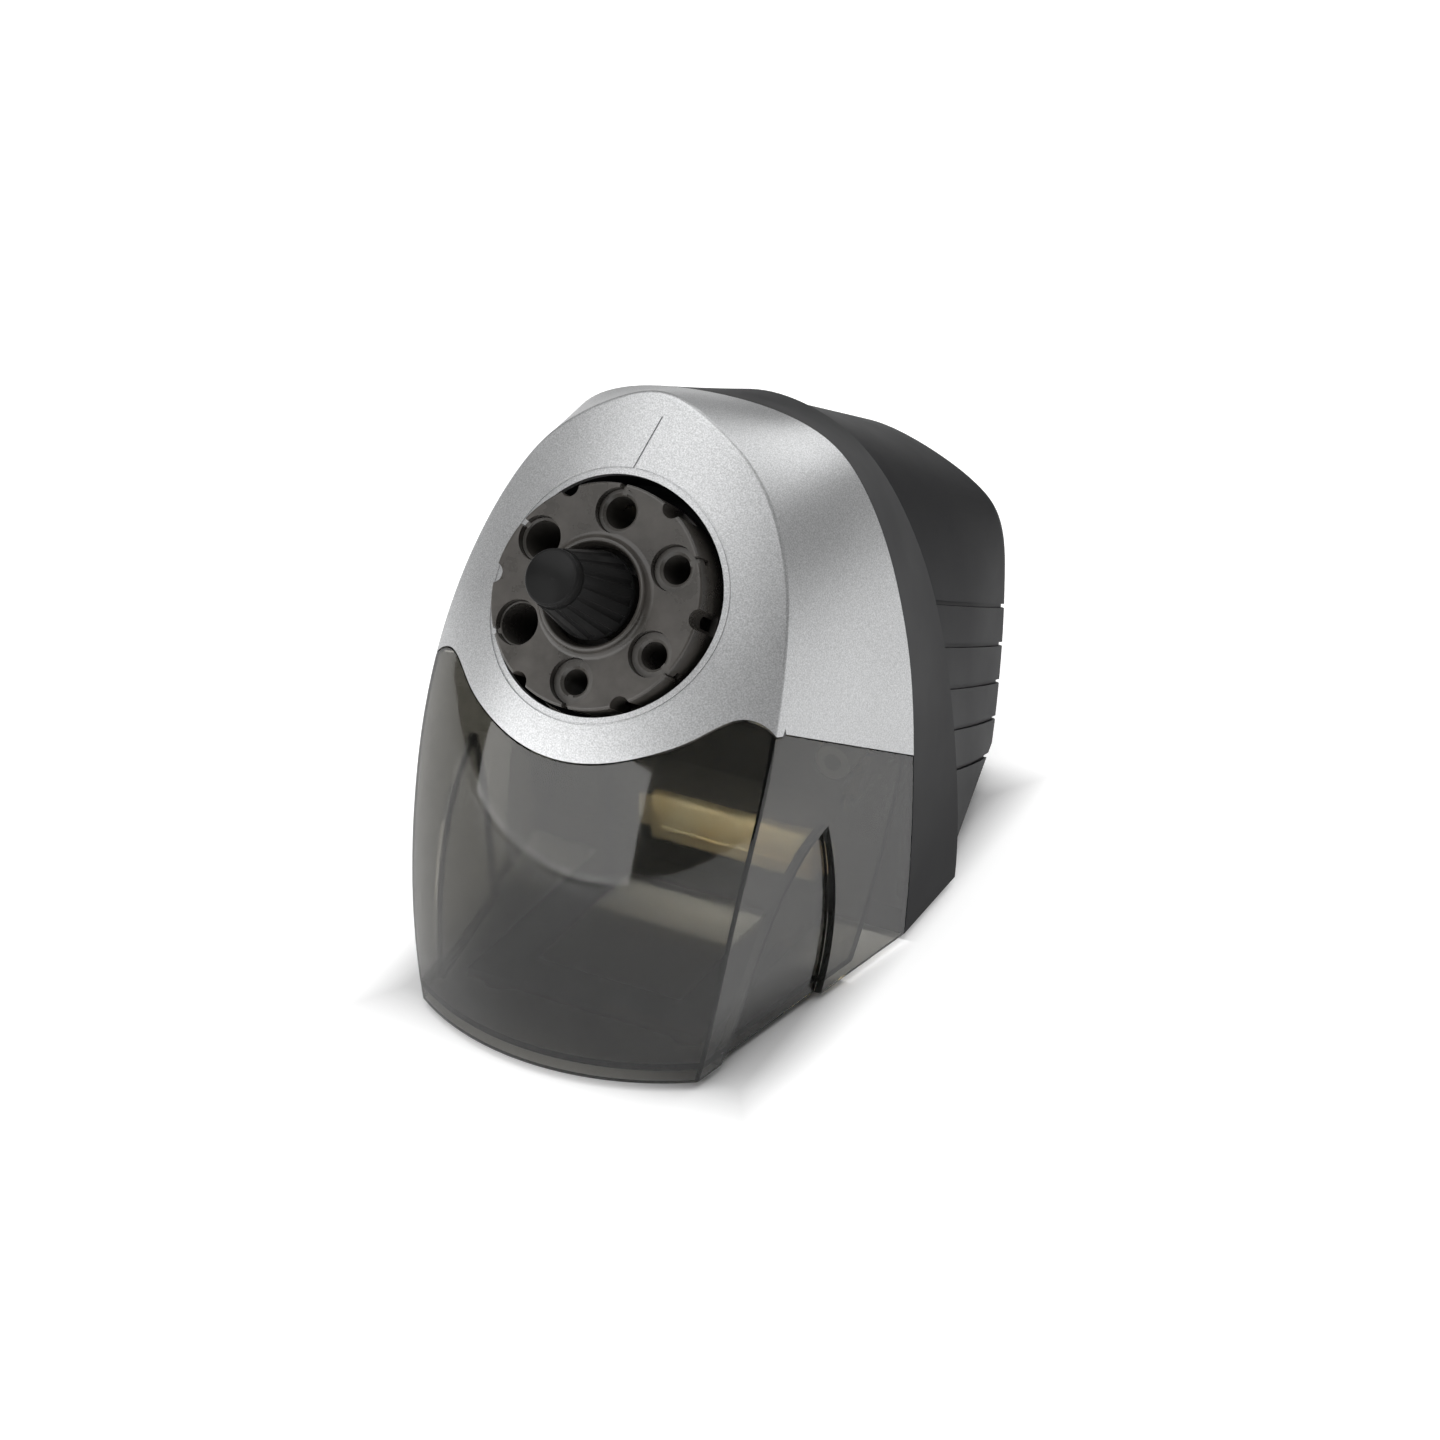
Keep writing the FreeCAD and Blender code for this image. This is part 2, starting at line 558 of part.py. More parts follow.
gap = WALL + TRAY_FIT
tray_top = BASE_Z + REAR_LIFT - TRAY_FIT
tray = plinth(gap, SEAM_Y, BASE_Z, tray_top)
well = plinth(gap + TRAY_WALL, SEAM_Y + TRAY_WALL, BASE_TOP, tray_top + 1)
tongue = box(-TONGUE_HALF, TONGUE_HALF, TONGUE_FRONT, SEAM_Y + 1, BASE_Z, BASE_TOP)
window_half = TONGUE_HALF - TONGUE_RAIL
tongue = tongue.cut(box(-window_half, window_half, TONGUE_FRONT + TONGUE_RAIL, SEAM_Y - 8, -5, 20))
base = fuse([tray.cut(well), tongue])
base_posts = [(post_x, post_y), (rear_post_x, rear_post_y)]
pads = [rod(6.0, BASE_TOP - 0.5, BASE_TOP + PAD_HEIGHT, x, y) for x, y in base_posts]
room_for_pads = plinth(gap, SEAM_Y, BASE_Z, BASE_TOP + 10)
pads = [pad.common(room_for_pads) for pad in pads]
base = base.fuse(pads + [mirrored(pad) for pad in pads])
sunk = 3.4
head_seat = sunk + 1.8
housing_screws = []
for x, y in base_posts:
    driven = screw(0, 0, -16, 0)
    driven.rotate(Vec(0, 0, 0), Vec(1, 0, 0), 180)
    driven = driven.translated(Vec(x, y, BASE_Z + sunk))
    housing_screws += [driven, mirrored(driven)]
    base = base.cut(rod(SCREW_HEAD + 0.3, -1, BASE_Z + head_seat, x, y))
    base = base.cut(rod(SCREW_HEAD + 0.3, -1, BASE_Z + head_seat, -x, y))
housing_screws = Part.makeCompound(housing_screws)
base, band, rear = [piece.cut(housing_screws) for piece in (base, band, rear)]
for i in range(VENT_COUNT):
    x = (i - (VENT_COUNT - 1) / 2) * VENT_PITCH
    base = base.cut(box(x - 1.5, x + 1.5, REAR_Y - 58, REAR_Y - 30, -1, BASE_TOP + 1))
feet_places = [(TONGUE_HALF - 7.5, TONGUE_FRONT + 7.5), (46, REAR_Y - 34)]
feet = [rod(FOOT_RADIUS, 0, BASE_Z, x, y).fuse(rod(FOOT_PLUG, BASE_Z, BASE_TOP, x, y))
        for x, y in feet_places]
feet = Part.makeCompound([foot.removeSplitter() for foot in feet + [mirrored(f) for f in feet]])
base = base.cut(feet)

gland = rod_along_y(GLAND_RADIUS, WALL + 3, GLAND_X, REAR_Y - WALL - 3, GLAND_Z)
gland = gland.fuse(rod_along_y(GLAND_RADIUS + 2, 2, GLAND_X, REAR_Y - WALL - 2, GLAND_Z))
gland = gland.removeSplitter().cut(rod_along_y(GLAND_BORE, 20, GLAND_X, REAR_Y - 12, GLAND_Z))
rear = rear.cut(rod_along_y(GLAND_RADIUS, 12, GLAND_X, REAR_Y - 8, GLAND_Z))
save(band, "main_housing")
save(rear, "rear_housing")
save(cover_screws, "cover_screws")
save(housing_screws, "housing_screws")
save(feet, "rubber_feet")
save(gland, "cord_gland")

# ---------------------------------------------------------------- dial, about its own axis
hole_angles = [90 + 60 * i for i in range(len(PENCIL_HOLES))]
hole_places = [(PITCH_RADIUS * math.cos(math.radians(a)), PITCH_RADIUS * math.sin(math.radians(a)))
               for a in hole_angles]
flare = [Vec(HUB_RADIUS + 4.2, 0, 0), Vec(HUB_RADIUS + 2.9, 0, 0.5), Vec(HUB_RADIUS + 2.2, 0, 1.9)]
lip = [flare[2], Vec(HUB_RADIUS + 1.4, 0, 2.5), Vec(HUB_RADIUS + 0.6, 0, 1.9)]
hub_foot = [lip[2], Vec(HUB_RADIUS, 0, 0), Vec(HUB_RADIUS, 0, -2.4), Vec(HUB_RADIUS + 4.2, 0, -2.4),
            flare[0]]
hub_wall = Part.Wire([Part.Arc(*flare).toShape(), Part.Arc(*lip).toShape()]
                     + Part.makePolygon(hub_foot).Edges)
hub_ring = Part.Face(hub_wall).revolve(Vec(0, 0, 0), Vec(0, 0, 1), 360)
cap_face = rod(DIAL_RADIUS, -CAP_THICKNESS, 0).cut(rod(HUB_RADIUS + 3.1, -CAP_THICKNESS - 1, 1))
cap_face = cap_face.makeFillet(CAP_ROUND, [e for e in cap_face.Edges
                                           if e.BoundBox.ZMin > -0.01
                                           and e.BoundBox.XMax > DIAL_RADIUS - 1])
skirt = tube(DIAL_RADIUS, DIAL_RADIUS - CAP_SKIRT, 4 - DIAL_THICKNESS, -CAP_THICKNESS)
cap = fuse([cap_face, hub_ring, skirt])
for (x, y), angle in zip(hole_places, hole_angles):
    cap = cap.cut(rod(TUBE_RADIUS + 0.2, -30, 5, x, y))
    slot = box(PITCH_RADIUS, DIAL_RADIUS + 2, -KEY_WIDTH / 2, KEY_WIDTH / 2, -30, 5)
    slot = slot.common(rod(DIAL_RADIUS + 2, -CAP_THICKNESS - 0.01, 5))
    cap = cap.cut(turned(slot, angle))
    notch = rod(SCALLOP_RADIUS, -30, 5, DIAL_RADIUS + 0.4, 0).common(rod(50, -CAP_THICKNESS - 6, 5))
    cap = cap.cut(turned(notch, angle + 30))

drum_radius = DIAL_RADIUS - CAP_SKIRT - 0.5
drum = rod(drum_radius, -DIAL_THICKNESS, 2.4 - DIAL_THICKNESS)
hub = rod(10.0, -DIAL_THICKNESS, -3.2)
tubes = [rod(TUBE_RADIUS, -DIAL_THICKNESS, -TUBE_RECESS, x, y) for x, y in hole_places]
drum = fuse([drum, hub] + tubes)
drum = drum.cut(rod(KNOB_STEM + RUNNING, -12, 0)).cut(rod(POST_RADIUS + RUNNING, -30, 0))
for (x, y), angle, bore in zip(hole_places, hole_angles, PENCIL_HOLES):
    drum = drum.cut(rod(bore / 2, -30, 5, x, y))
    lead = min(0.8, TUBE_RADIUS - bore / 2 - 0.25)
    cone = Part.makeCone(bore / 2, bore / 2 + lead, lead, Vec(x, y, -TUBE_RECESS - lead))
    drum = drum.cut(cone)
    key_half = KEY_WIDTH / 2 - 0.2
    key = box(PITCH_RADIUS + bore / 2 + 0.2, PITCH_RADIUS + TUBE_RADIUS + 0.9, -key_half, key_half,
              -6, -TUBE_RECESS)
    drum = drum.fuse(turned(key, angle))
    dimple = rod(1.9, -DIAL_THICKNESS - 1, 1.2 - DIAL_THICKNESS, 18.0, 0)
    drum = drum.cut(turned(dimple, angle + 30))
drum = drum.removeSplitter()

knob = Part.makeCone(KNOB_BASE_RADIUS, KNOB_END_RADIUS + 0.5, KNOB_HEIGHT - 4.0, Vec(0, 0, 0.6))
fall = KNOB_BASE_RADIUS - KNOB_END_RADIUS - 0.5
for i in range(FLUTES):
    flute = Part.makeCone(1.5, 0.9, KNOB_HEIGHT - 2, Vec(KNOB_BASE_RADIUS + 0.5, 0, 1.8),
                          Vec(-fall, 0, KNOB_HEIGHT - 4))
    knob = knob.cut(turned(flute, 360.0 * i / FLUTES))
end = rod(KNOB_END_RADIUS, KNOB_HEIGHT - 4.4, KNOB_HEIGHT)
end = end.makeFillet(0.9, [e for e in end.Edges if e.BoundBox.ZMin > KNOB_HEIGHT - 0.1])
dish = Part.makeSphere(20.0, Vec(0, 0, KNOB_HEIGHT + 18.6))
knob = fuse([knob, end, rod(KNOB_STEM, -11.0, 0.7)]).cut(dish)
knob = knob.cut(rod(5.2, -12, KNOB_HEIGHT - 8))
save(on_dial(cap), "dial_cap")
save(on_dial(drum), "dial_drum")
save(on_dial(knob), "selector_knob")

# dial seat: cup behind the cover that carries the dial's post
seat_floor = -DIAL_THICKNESS - 0.8
seat = rod(SEAT_RADIUS, seat_floor - 2.5, seat_floor)
seat = seat.fuse(tube(SEAT_RADIUS, SEAT_RADIUS - 2.2, seat_floor - 1, 0)).removeSplitter()
seat = on_dial(seat).common(inner_front(WALL + 0.1))
seat = seat.cut(ZONE.translated(Vec(0, 0, SEAM_GAP)))
seat = max(seat.Solids, key=lambda s: s.Volume)
post = fuse([rod(POST_RADIUS, seat_floor - 4.0, -11.2),
             rod(2 * POST_RADIUS, seat_floor - 4.0, seat_floor - 2.5)])
dial_screw = fuse([rod(1.5, -18, -11.2), rod(4.4, -11.2, -9.4)])
post = post.cut(dial_screw)
seat = seat.cut(on_dial(post))
seat = seat.cut(on_drive(rod(PENCIL_ROOM, -40, 5)))
spring = box(-3, 3, -24, -6.5, seat_floor, seat_floor + 0.4)
spring = fuse([spring, rod(1.3, seat_floor, seat_floor + 0.7, 0, -18)])
save(on_dial(post), "dial_post")
save(on_dial(dial_screw), "dial_screw")
save(on_dial(spring), "detent_spring")
save(seat, "dial_seat")

# ---------------------------------------------------------------- cutter unit, about the pencil
cutter_x = GEAR_MODULE * (RING_TEETH - CUTTER_TEETH) / 2
gear_mid = -41.5


def on_cutter(shape):
    """Place a shape drawn about the cutter's own axis, at the middle of its pinion."""
    placed = shape.copy()
    frame = FreeCAD.Placement(Vec(cutter_x, 0, gear_mid), FreeCAD.Rotation(Vec(0, 1, 0), CUTTER_LEAN))
    placed.Placement = frame.multiply(placed.Placement)
    return on_drive(placed)


housing = fuse([rod(RING_OUTER + 3, -35.4, -33.0), tube(RING_OUTER + 3, RING_OUTER, -48.0, -34.0)])
housing = housing.cut(rod(PENCIL_ROOM, -40, 0))
posts = [turned(rod(3.2, -90.0, -35.4, RING_OUTER + 1.5, 0), angle) for angle in (20, 90, 160)]
housing = fuse([housing] + posts).cut(rod(RING_OUTER, -48.5, -35.4))
save(on_drive(housing), "cutter_housing")
ring = ring_gear_blank(RING_TEETH, 0, RING_OUTER, gear_mid - 3, gear_mid + 3)
save(on_drive(ring), "ring_gear")

pinion = gear(CUTTER_TEETH, 0, -2.0, 2.0)
pinion = pinion.cut(rod(CUTTER_BORE + RUNNING, -10, 10))
star = []
for i in range(2 * CUTTER_BLADES):
    radius = CUTTER_RADIUS if i % 2 == 0 else CUTTER_RADIUS - 1.6
    angle = math.pi * (i + (0.35 if i % 2 else 0)) / CUTTER_BLADES
    star.append(Vec(radius * math.cos(angle), radius * math.sin(angle), 0))
stations = []
for i in range(6):
    station = Part.makePolygon(star + star[:1])
    station.rotate(Vec(0, 0, 0), Vec(0, 0, 1), 11.0 * i)
    stations.append(station.translated(Vec(0, 0, -2.5 - 6.6 * i)))
cutter = Part.makeLoft(stations, True, True)
cutter = cutter.cut(rod(CUTTER_BORE + RUNNING, -50, 10))
axle = rod(CUTTER_BORE, -41.0, 5.6)
save(on_cutter(pinion), "cutter_pinion")
save(on_cutter(cutter), "helical_cutter")

carrier = rod(CARRIER_DISC, -37.6, -35.8)
carrier = carrier.cut(rod(PENCIL_ROOM - 0.2, -40, -30))
arms = [turned(rod(3.0, -84.0, -36.5, CARRIER_DISC - 3.5, 0), angle) for angle in (120, 180, 240)]
rear_disc = rod(CARRIER_DISC, -86.0, -83.0)
shaft = rod(CARRIER_SHAFT, -103.0, -85.0)
carrier = fuse([carrier, rear_disc, shaft] + arms)
axle_placed = on_cutter(axle)
carrier = on_drive(carrier)
block = on_drive(rod(6.0, -84.0, -80.5, 7.5, 0)).cut(on_cutter(rod(9.5, -40.2, 0)))
carrier = fuse([carrier, block]).cut(axle_placed)
save(carrier, "cutter_carrier")
save(axle_placed, "cutter_axle")

# ---------------------------------------------------------------- gear train
lay_y = -(MOTOR_DROP ** 2 + GEAR_REACH ** 2 - MOTOR_REACH ** 2) / (2 * MOTOR_DROP)
lay_x = math.sqrt(GEAR_REACH ** 2 - lay_y ** 2)
to_lay = math.degrees(math.atan2(lay_y, lay_x))
to_motor = math.degrees(math.atan2(-MOTOR_DROP - lay_y, -lay_x))
carrier_gear = gear(CARRIER_TEETH, to_lay, -101.0, -95.0).cut(rod(CARRIER_SHAFT, -110, -90))
save(on_drive(carrier_gear), "carrier_gear")
small = gear(LAY_SMALL_TEETH, to_lay + 180 + 180.0 / LAY_SMALL_TEETH, -102.5, -94.5)
large = gear(LAY_LARGE_TEETH, to_motor, -109.0, -104.0)
lay = fuse([small, rod(GEAR_MODULE * LAY_SMALL_TEETH / 2 - 1.2, -104.0, -102.5), large])
lay = lay.cut(rod(SHAFT_RADIUS + RUNNING, -120, -90))
lay = lay.translated(Vec(lay_x, lay_y, 0))
save(on_drive(lay), "compound_gear")
lay_axle = rod(SHAFT_RADIUS, -115.0, -90.0, lay_x, lay_y)
save(on_drive(lay_axle), "compound_axle")

plate_front = -90.0
plate_back = plate_front - PLATE_THICKNESS
gear_plate = box(-46, 46, -36, 24, plate_back, plate_front)
gear_plate = gear_plate.makeFillet(PLATE_ROUND, [e for e in gear_plate.Edges
                                                 if abs(e.BoundBox.ZLength - PLATE_THICKNESS) < 0.01])
gear_plate = gear_plate.fuse(rod(RING_OUTER + 4, plate_back, plate_front)).removeSplitter()
gear_plate = gear_plate.cut(rod(BUSH_RADIUS, -110, -80)).cut(lay_axle)
carrier_bush = tube(BUSH_RADIUS, CARRIER_SHAFT + RUNNING, plate_back - 1.2, plate_front + 2)
save(on_drive(carrier_bush), "carrier_bush")
spacer_places = [(-40, 16), (-40, -28), (40, 16)]
spacers = Part.makeCompound([rod(3.5, -113.0, plate_back, x, y) for x, y in spacer_places])
plate_screws = Part.makeCompound([screw(x, y, -101.0, plate_front + 1.8) for x, y in spacer_places])
gear_plate = gear_plate.cut(plate_screws)
spacers = spacers.cut(plate_screws)
save(on_drive(gear_plate), "gear_plate")
save(on_drive(spacers), "plate_spacers")
save(on_drive(plate_screws), "plate_screws")

guard = tube(RING_OUTER - 2, RING_OUTER - 3.8, plate_front, gear_mid - 3)
mouth = Part.makeBox(60, 60, 60, Vec(0, 0, -100))
mouth.rotate(Vec(0, 0, 0), Vec(0, 0, 1), -135)
guard = guard.cut(mouth)
save(on_drive(guard), "cutter_guard")

# ---------------------------------------------------------------- chassis plate and motor
plate_lo = -62.0
chassis_back = -113.0 - CHASSIS_THICKNESS
plate = box(-CHASSIS_HALF, CHASSIS_HALF, plate_lo, 22, chassis_back, -113.0)
plate = plate.makeFillet(PLATE_ROUND, [e for e in plate.Edges
                                       if abs(e.BoundBox.ZLength - CHASSIS_THICKNESS) < 0.01
                                       and e.BoundBox.YMin > 0])
plate = on_drive(plate)
bend = PENCIL_CENTRE + UP * plate_lo + OUT * chassis_back
leg = box(-CHASSIS_HALF, CHASSIS_HALF, bend.y, bend.y + CHASSIS_THICKNESS, BASE_TOP, bend.z + 2.6)
foot = box(-CHASSIS_HALF, CHASSIS_HALF, bend.y, bend.y + 20.0, BASE_TOP, BASE_TOP + CHASSIS_THICKNESS)
chassis = fuse([plate, leg, foot])

brace_low = BASE_Z + REAR_LIFT + 0.7
brace_high = brace_low + BRACE_HEIGHT
brace_front = bend.y - BRACE_DEPTH
channel = box(BRACE_LEFT, BRACE_RIGHT, brace_front, bend.y, brace_low, brace_high)
channel = channel.makeFillet(BRACE_ROUND, [e for e in channel.Edges
                                           if e.BoundBox.YMax < brace_front + 0.1
                                           and e.BoundBox.XLength > 1])
channel_room = box(BRACE_LEFT - 1, BRACE_RIGHT + 1, brace_front + BRACE_SHEET, bend.y + 1,
                   brace_low + BRACE_SHEET, brace_high - BRACE_SHEET)
bead_z = brace_low + 0.3 * BRACE_HEIGHT
bead = Part.makeCylinder(BRACE_SHEET, BRACE_RIGHT - BRACE_LEFT - 8,
                         Vec(BRACE_LEFT + 4, brace_front + 0.6, bead_z), Vec(1, 0, 0))
tabs = [box(x, x + BRACE_TAB, bend.y - BRACE_SHEET, bend.y, brace_low + 3, brace_high - 3)
        for x in (BRACE_LEFT - BRACE_TAB, BRACE_RIGHT)]
ends = [box(x, x + BRACE_SHEET, brace_front + BRACE_SHEET, bend.y, brace_low + 1, brace_high - 1)
        for x in (BRACE_LEFT, BRACE_RIGHT - BRACE_SHEET)]
brace = fuse([channel.cut(channel_room), bead] + ends + tabs)
save(brace, "chassis_brace")
chassis = chassis.cut(on_drive(rod(SHAFT_RADIUS, -120, -100, lay_x, lay_y)))
motor_bush_front = tube(MOTOR_BUSH, SHAFT_RADIUS + RUNNING, -116.5, -111.5, 0, -MOTOR_DROP)
chassis = chassis.cut(on_drive(rod(MOTOR_BUSH, -120, -100, 0, -MOTOR_DROP)))
chassis = chassis.cut(on_drive(Part.makeCompound([rod(1.6, -120, -100, x, y)
                                                  for x, y in spacer_places])))
chassis_places = [(CHASSIS_SCREW_X, bend.y + 13.0), (-CHASSIS_SCREW_X, bend.y + 13.0)]
chassis_screws = Part.makeCompound([screw(x, y, BASE_Z + 0.6, BASE_TOP + 3.8)
                                    for x, y in chassis_places])
stack1 = -123.0
stack0 = stack1 - MOTOR_STACK
stator = box(-MOTOR_RADIUS, MOTOR_RADIUS, -MOTOR_RADIUS, MOTOR_RADIUS, stack0, stack1)
stator = stator.makeFillet(9.0, [e for e in stator.Edges
                                 if abs(e.BoundBox.ZLength - MOTOR_STACK) < 0.01])
stator = stator.cut(rod(ROTOR_RADIUS + 0.5, -200, -100))
coils = []
for reach in (-COIL_REACH, COIL_REACH):
    low, high = reach - COIL_THICKNESS / 2, reach + COIL_THICKNESS / 2
    stator = stator.cut(box(-COIL_HALF, COIL_HALF, low, high, -200, -100))
    front_turn = box(-COIL_HALF, COIL_HALF, low, high, stack1, stack1 + COIL_THICKNESS)
    rear_turn = box(-COIL_HALF, COIL_HALF, low, high, stack0 - COIL_THICKNESS, stack0)
    core = box(-COIL_HALF + CLEAR, COIL_HALF - CLEAR, low + 0.3, high - 0.3, stack0, stack1)
    coils.append(fuse([front_turn, core, rear_turn]))
coils = Part.makeCompound(coils)
bolt_places = [(MOTOR_BOLTS, MOTOR_BOLTS), (-MOTOR_BOLTS, MOTOR_BOLTS),
               (-MOTOR_BOLTS, -MOTOR_BOLTS), (MOTOR_BOLTS, -MOTOR_BOLTS)]
bolt_radius = 1.8
bolts = []
sleeves = []
for x, y in bolt_places:
    bolt_head = rod(SLEEVE_RADIUS, stack0 - 13.0, stack0 - 11.0, x, y)
    bolts.append(fuse([rod(bolt_radius, stack0 - 11.0, -113.0, x, y), bolt_head]))
    sleeves.append(tube(SLEEVE_RADIUS, bolt_radius, stack1, chassis_back, x, y))
    sleeves.append(tube(SLEEVE_RADIUS, bolt_radius, stack0 - 8.0, stack0, x, y))
bolts = Part.makeCompound(bolts)
sleeves = Part.makeCompound(sleeves)
stator = stator.cut(bolts)
at_motor = Vec(0, -MOTOR_DROP, 0)
chassis = chassis.cut(on_drive(bolts.translated(at_motor)))
base = base.cut(chassis_screws)
chassis = chassis.cut(chassis_screws)
save(chassis, "chassis_plate")
save(chassis_screws, "chassis_screws")
save(on_drive(motor_bush_front), "motor_front_bush")
save(on_drive(stator.translated(at_motor)), "motor_stator")
save(on_drive(coils.translated(at_motor)), "motor_coils")
save(on_drive(bolts.translated(at_motor)), "motor_bolts")
save(on_drive(sleeves.translated(at_motor)), "motor_sleeves")

motor_shaft = rod(SHAFT_RADIUS, stack0 - 20.0, -103.0)
core = tube(ROTOR_RADIUS, SHAFT_RADIUS, stack0, stack1)
motor_pinion = gear(MOTOR_TEETH, to_motor + 180 + 180.0 / MOTOR_TEETH, -109.5, -103.5)
motor_pinion = motor_pinion.cut(rod(SHAFT_RADIUS, -120, -90))
save(on_drive(motor_shaft.translated(at_motor)), "motor_shaft")
save(on_drive(core.translated(at_motor)), "rotor_core")
save(on_drive(motor_pinion.translated(at_motor)), "motor_pinion")
fan_z = stack0 - 18.0
fan = [tube(6.0, SHAFT_RADIUS, fan_z - 1.5, fan_z + 2.5),
       tube(FAN_RADIUS, SHAFT_RADIUS, fan_z - 1.5, fan_z)]
for i in range(FAN_BLADES):
    blade = box(5.0, FAN_RADIUS - 0.5, -0.6, 0.6, fan_z - 1.0, fan_z + 2.5)
    fan.append(turned(blade, 360.0 / FAN_BLADES * i))
save(on_drive(fuse(fan).translated(at_motor)), "cooling_fan")
bracket_half = MOTOR_RADIUS + 1
bracket = box(-bracket_half, bracket_half, -bracket_half, bracket_half, stack0 - 11.0, stack0 - 8.0)
bracket = bracket.cut(rod(MOTOR_BUSH, -300, -100)).cut(bolts)
motor_bush_rear = tube(MOTOR_BUSH, SHAFT_RADIUS + RUNNING, stack0 - 12.0, stack0 - 7.0)
bracket = on_drive(bracket.translated(at_motor))
corner = PENCIL_CENTRE + UP * (-MOTOR_DROP - bracket_half) + OUT * (stack0 - 11.0)
bracket_leg = box(-22, 22, corner.y + 0.6, corner.y + 3.1, BASE_TOP, corner.z + 3.0)
bracket_foot = box(-22, 22, corner.y - 14.0, corner.y + 3.1, BASE_TOP, BASE_TOP + 2.5)
bracket = fuse([bracket, bracket_leg, bracket_foot])
bracket_screws = Part.makeCompound([screw(x, corner.y - 7.0, BASE_Z + 0.6, BASE_TOP + 4.3)
                                    for x in (-16, 16)])
bracket = bracket.cut(bracket_screws).cut(on_drive(bolts.translated(at_motor)))
base = base.cut(bracket_screws)
save(bracket, "motor_rear_bracket")
save(bracket_screws, "bracket_screws")
save(on_drive(motor_bush_rear.translated(at_motor)), "motor_rear_bush")

# ---------------------------------------------------------------- switches and control board
LEVER_X = 22.0           # lever's pin from the pencil's axis
LEVER_FRONT = -28.6
LEVER_BACK = -31.0
LEVER_PIN = 1.5
lever = fuse([box(3.0, LEVER_X, -2.0, 2.0, LEVER_BACK, LEVER_FRONT),
              rod(4.0, LEVER_BACK, LEVER_FRONT, LEVER_X, 0),
              box(LEVER_X - 2, LEVER_X + 2, 2.0, 11.0, LEVER_BACK, LEVER_FRONT)])
lever = lever.cut(rod(LEVER_PIN + RUNNING, -40, -20, LEVER_X, 0))
lever_pin = rod(LEVER_PIN, -33.0, -27.5, LEVER_X, 0)
switch_body = box(LEVER_X + 3.2, LEVER_X + 9, 4.0, 16.0, -33.0, -27.6)
save(on_drive(lever), "start_lever")
save(on_drive(lever_pin), "lever_pin")
save(on_drive(switch_body), "start_switch")

PLUNGER_X = -50.5        # drawer switch, behind the drawer's left side
PLUNGER_Z = 49.0
PLUNGER_RADIUS = 2.0
SWITCH_HALF = 6.0
plunger_y = SEAM_Y - 3.0
safety = box(PLUNGER_X - SWITCH_HALF, PLUNGER_X + SWITCH_HALF, SEAM_Y + 6, SEAM_Y + 24,
             PLUNGER_Z - 5, PLUNGER_Z + 5)
safety = safety.cut(rod_along_y(PLUNGER_RADIUS + RUNNING, 24, PLUNGER_X, SEAM_Y - 6, PLUNGER_Z))
plunger = rod_along_y(PLUNGER_RADIUS, 16.5, PLUNGER_X, plunger_y, PLUNGER_Z)
plunger = plunger.fuse(rod_along_y(PLUNGER_RADIUS + 1.2, 2.0, PLUNGER_X, plunger_y, PLUNGER_Z))
save(safety, "drawer_switch")
save(plunger.removeSplitter(), "switch_plunger")
switch_arm = box(PLUNGER_X - SWITCH_HALF, PLUNGER_X + SWITCH_HALF, SEAM_Y + 8, SEAM_Y + 22,
                 BASE_TOP, PLUNGER_Z - 5)
switch_arm = switch_arm.cut(box(PLUNGER_X - SWITCH_HALF + 2, PLUNGER_X + SWITCH_HALF - 2, SEAM_Y + 7,
                                SEAM_Y + 23, BASE_TOP + 8, PLUNGER_Z - 7))
save(switch_arm, "switch_stand")

BOARD_LEFT = -54.0       # control board, beside the motor
BOARD_RIGHT = -29.0
BOARD_BACK = REAR_Y - 32
BOARD_FRONT = REAR_Y - 70
board_z = BASE_TOP + 7.5
board_top = board_z + 1.6
board = box(BOARD_LEFT, BOARD_RIGHT, BOARD_FRONT, BOARD_BACK, board_z, board_top)
stands = Part.makeCompound([rod(2.5, BASE_TOP, board_z, x, y)
                            for x in (BOARD_LEFT + 4.2, BOARD_RIGHT - 3)
                            for y in (BOARD_FRONT + 4, BOARD_BACK - 4)])
relay = box(BOARD_LEFT + 1.5, BOARD_LEFT + 13.5, BOARD_FRONT + 4, BOARD_FRONT + 22, board_top,
            board_top + 15.4)
can = rod(5.0, board_top, board_top + 13.4, BOARD_RIGHT - 5.5, BOARD_FRONT + 16)
terminal = box(BOARD_LEFT + 4, BOARD_RIGHT - 3, BOARD_BACK - 12, BOARD_BACK - 4, board_top,
               board_top + 9.4)
save(board, "control_board")
save(stands, "board_standoffs")
save(relay, "motor_relay")
save(can, "motor_capacitor")
save(terminal, "terminal_block")
save(base, "base_plate")
